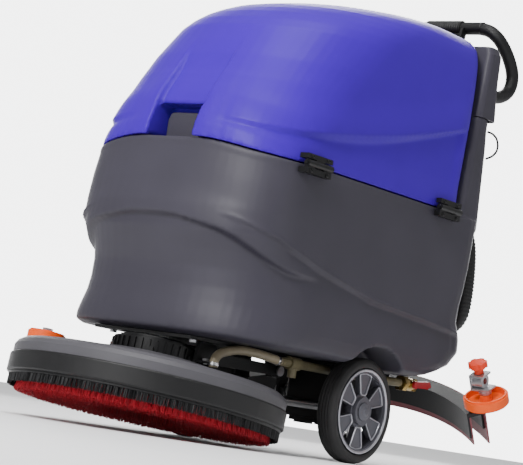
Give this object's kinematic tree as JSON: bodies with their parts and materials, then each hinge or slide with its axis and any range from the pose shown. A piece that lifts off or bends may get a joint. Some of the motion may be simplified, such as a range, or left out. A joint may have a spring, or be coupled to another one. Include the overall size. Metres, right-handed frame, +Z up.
{
  "type": "walk-behind floor scrubber",
  "caption": "Walk-behind floor scrubber: stacked solution and recovery tanks, tilting disc brush deck, lifting curved squeegee, wheels, swivel caster and looped handle.",
  "frame": {"origin": "on the floor, under the middle of the whole machine's bounding box", "axes": "+Z up, -Y is the front with the brush deck, +X is the machine's left side"},
  "size_m": [0.784, 1.0899, 0.9975],
  "materials": {
    "chassis_frame": "satin",
    "frame_bolts": "zinc plated",
    "pivot_pins": "zinc plated",
    "main_axle": "satin",
    "left_rim": "metallic paint",
    "left_tyre": "matte",
    "right_rim": "metallic paint",
    "right_tyre": "matte",
    "caster_mount": "zinc plated",
    "caster_fork": "zinc plated",
    "caster_wheel": "matte",
    "solution_tank": "fine moulded grain",
    "fill_cap": "matte",
    "battery_cases": "satin",
    "battery_plates": "dull",
    "solution_pump": "matte",
    "solution_pipe": "satin",
    "solution_hose": "satin",
    "drain_valve": "machined",
    "drain_lever": "dipped vinyl",
    "deck_arms": "satin",
    "deck_cover": "moulded grain",
    "bumper_ring": "satin",
    "splash_skirt": "bristle strip",
    "brush_motor": "black paint",
    "gearbox": "as cast",
    "deck_bolts": "zinc plated",
    "wall_roller": "satin",
    "drive_hub": "satin",
    "brush_block": "satin",
    "brush_bristles": "nylon bristle",
    "squeegee_arm": "satin",
    "squeegee_body": "painted",
    "front_blade": "translucent gum",
    "rear_blade": "translucent gum",
    "blade_straps": "satin",
    "knob_brackets": "zinc plated",
    "left_roller": "satin",
    "right_roller": "satin",
    "left_knob": "satin",
    "right_knob": "satin",
    "suction_hose": "corrugated",
    "hinge_bases": "satin",
    "hinge_leaves": "satin",
    "recovery_tank": "moulded, semi-gloss",
    "tank_lid": "semi-gloss",
    "vacuum_motor": "painted",
    "float_ball": "satin",
    "console_housing": "fine moulded grain",
    "control_panel": "satin",
    "handle_tube": "textured powder coat",
    "handle_grips": "ribbed foam",
    "start_bail": "satin",
    "key_switch": "polished",
    "brush_button": "gloss",
    "vacuum_button": "gloss",
    "emergency_stop": "gloss",
    "squeegee_lever": "satin",
    "deck_lever": "satin",
    "console_wire": "satin"
  },
  "bodies": {
    "machine": {"chassis_frame": "chassis_frame", "frame_bolts": "frame_bolts", "pivot_pins": "pivot_pins", "main_axle": "main_axle", "caster_mount": "caster_mount", "solution_tank": "solution_tank", "battery_cases": "battery_cases", "battery_plates": "battery_plates", "solution_pump": "solution_pump", "solution_pipe": "solution_pipe", "solution_hose": "solution_hose", "drain_valve": "drain_valve", "suction_hose": "suction_hose", "hinge_bases": "hinge_bases", "console_housing": "console_housing", "control_panel": "control_panel", "handle_tube": "handle_tube", "handle_grips": "handle_grips", "console_wire": "console_wire"},
    "left_wheel": {"left_rim": "left_rim", "left_tyre": "left_tyre"},
    "right_wheel": {"right_rim": "right_rim", "right_tyre": "right_tyre"},
    "caster_fork": {"caster_fork": "caster_fork"},
    "caster_wheel": {"caster_wheel": "caster_wheel"},
    "fill_cap": {"fill_cap": "fill_cap"},
    "drain_lever": {"drain_lever": "drain_lever"},
    "deck": {"deck_arms": "deck_arms", "deck_cover": "deck_cover", "bumper_ring": "bumper_ring", "splash_skirt": "splash_skirt", "brush_motor": "brush_motor", "gearbox": "gearbox", "deck_bolts": "deck_bolts"},
    "wall_roller": {"wall_roller": "wall_roller"},
    "brush": {"drive_hub": "drive_hub", "brush_block": "brush_block", "brush_bristles": "brush_bristles"},
    "squeegee_arm": {"squeegee_arm": "squeegee_arm"},
    "squeegee": {"squeegee_body": "squeegee_body", "front_blade": "front_blade", "rear_blade": "rear_blade", "blade_straps": "blade_straps", "knob_brackets": "knob_brackets"},
    "left_roller": {"left_roller": "left_roller"},
    "right_roller": {"right_roller": "right_roller"},
    "left_knob": {"left_knob": "left_knob"},
    "right_knob": {"right_knob": "right_knob"},
    "recovery_tank": {"hinge_leaves": "hinge_leaves", "recovery_tank": "recovery_tank", "vacuum_motor": "vacuum_motor"},
    "tank_lid": {"tank_lid": "tank_lid"},
    "float_ball": {"float_ball": "float_ball"},
    "start_bail": {"start_bail": "start_bail"},
    "key_switch": {"key_switch": "key_switch"},
    "brush_button": {"brush_button": "brush_button"},
    "vacuum_button": {"vacuum_button": "vacuum_button"},
    "emergency_stop": {"emergency_stop": "emergency_stop"},
    "squeegee_lever": {"squeegee_lever": "squeegee_lever"},
    "deck_lever": {"deck_lever": "deck_lever"}
  },
  "joints": [
    {"name": "left_wheel_roll", "type": "hinge", "parent": "machine", "child": "left_wheel", "pos_m": [0.2105, 0.12, 0.106], "axis": [1, 0, 0], "continuous": true},
    {"name": "right_wheel_roll", "type": "hinge", "parent": "machine", "child": "right_wheel", "pos_m": [-0.2105, 0.12, 0.106], "axis": [1, 0, 0], "continuous": true},
    {"name": "caster_swivel", "type": "hinge", "parent": "machine", "child": "caster_fork", "pos_m": [0, 0.395, 0.084], "axis": [0, 0, 1], "continuous": true},
    {"name": "caster_roll", "type": "hinge", "parent": "caster_fork", "child": "caster_wheel", "pos_m": [0, 0.413, 0.03], "axis": [1, 0, 0], "continuous": true},
    {"name": "fill_cap_turn", "type": "hinge", "parent": "machine", "child": "fill_cap", "pos_m": [-0.12, 0.47, 0.69], "axis": [0, 1, 0], "continuous": true},
    {"name": "drain_lever_turn", "type": "hinge", "parent": "machine", "child": "drain_lever", "pos_m": [0.19, 0.354, 0.18], "axis": [1, 0, 0], "range_deg": [-90, 0]},
    {"name": "deck_lift", "type": "hinge", "parent": "machine", "child": "deck", "pos_m": [0, -0.005, 0.16], "axis": [1, 0, 0], "range_deg": [0, 6], "deforming": ["solution_hose"]},
    {"name": "wall_roller_spin", "type": "hinge", "parent": "deck", "child": "wall_roller", "pos_m": [-0.262, -0.29708, 0.15247], "axis": [0, 0.1045, 0.9945], "continuous": true},
    {"name": "brush_spin", "type": "hinge", "parent": "deck", "child": "brush", "pos_m": [0, -0.28, 0.028], "axis": [0, 0.1045, 0.9945], "continuous": true},
    {"name": "squeegee_lift", "type": "hinge", "parent": "machine", "child": "squeegee_arm", "pos_m": [0, 0.24, 0.13], "axis": [1, 0, 0], "range_deg": [-30, 0], "deforming": ["suction_hose"]},
    {"name": "squeegee_swivel", "type": "hinge", "parent": "squeegee_arm", "child": "squeegee", "pos_m": [0, 0.45179, 0.19916], "axis": [0, -0.5, 0.866], "range_deg": [-8, 8]},
    {"name": "left_roller_spin", "type": "hinge", "parent": "squeegee", "child": "left_roller", "pos_m": [0.345, 0.3961, 0.17163], "axis": [0, -0.5, 0.866], "continuous": true},
    {"name": "right_roller_spin", "type": "hinge", "parent": "squeegee", "child": "right_roller", "pos_m": [-0.345, 0.3961, 0.17163], "axis": [0, -0.5, 0.866], "continuous": true},
    {"name": "left_knob_turn", "type": "hinge", "parent": "squeegee", "child": "left_knob", "pos_m": [0.334, 0.36856, 0.22732], "axis": [0, -0.5, 0.866], "continuous": true},
    {"name": "right_knob_turn", "type": "hinge", "parent": "squeegee", "child": "right_knob", "pos_m": [-0.334, 0.36856, 0.22732], "axis": [0, -0.5, 0.866], "continuous": true},
    {"name": "tank_tilt", "type": "hinge", "parent": "machine", "child": "recovery_tank", "pos_m": [0.262, 0.045, 0.5465], "axis": [0, 1, 0], "range_deg": [0, 80]},
    {"name": "lid_hinge", "type": "hinge", "parent": "recovery_tank", "child": "tank_lid", "pos_m": [0, 0.378, 0.95], "axis": [-1, 0, 0], "range_deg": [0, 85]},
    {"name": "float_rise", "type": "slide", "parent": "recovery_tank", "child": "float_ball", "axis": [0, 0, 1], "range_m": [0, 0.06]},
    {"name": "start_bail_squeeze", "type": "hinge", "parent": "machine", "child": "start_bail", "pos_m": [0, 0.462, 0.96], "axis": [1, 0, 0], "range_deg": [0, 8], "stiffness_Nm_per_rad": 1, "springref_deg": -8.59},
    {"name": "key_turn", "type": "hinge", "parent": "machine", "child": "key_switch", "pos_m": [-0.095, 0.424, 0.92], "axis": [0, 0, 1], "range_deg": [0, 90]},
    {"name": "brush_button_press", "type": "slide", "parent": "machine", "child": "brush_button", "axis": [0, 0, -1], "range_m": [0, 0.003], "stiffness_N_per_m": 400, "springref_m": -0.002},
    {"name": "vacuum_button_press", "type": "slide", "parent": "machine", "child": "vacuum_button", "axis": [0, 0, -1], "range_m": [0, 0.003], "stiffness_N_per_m": 400, "springref_m": -0.002},
    {"name": "emergency_stop_press", "type": "slide", "parent": "machine", "child": "emergency_stop", "axis": [0, 0, -1], "range_m": [0, 0.004], "stiffness_N_per_m": 600, "springref_m": -0.003},
    {"name": "squeegee_lever_turn", "type": "hinge", "parent": "machine", "child": "squeegee_lever", "pos_m": [0.07, 0.424, 0.8], "axis": [1, 0, 0], "range_deg": [0, 30]},
    {"name": "deck_lever_turn", "type": "hinge", "parent": "machine", "child": "deck_lever", "pos_m": [-0.07, 0.424, 0.8], "axis": [1, 0, 0], "range_deg": [0, 30]}
  ],
  "couplings": [
    {"joint": "squeegee_lever_turn", "follows": "squeegee_lift", "ratio": -1},
    {"joint": "deck_lever_turn", "follows": "deck_lift", "ratio": 5}
  ]
}
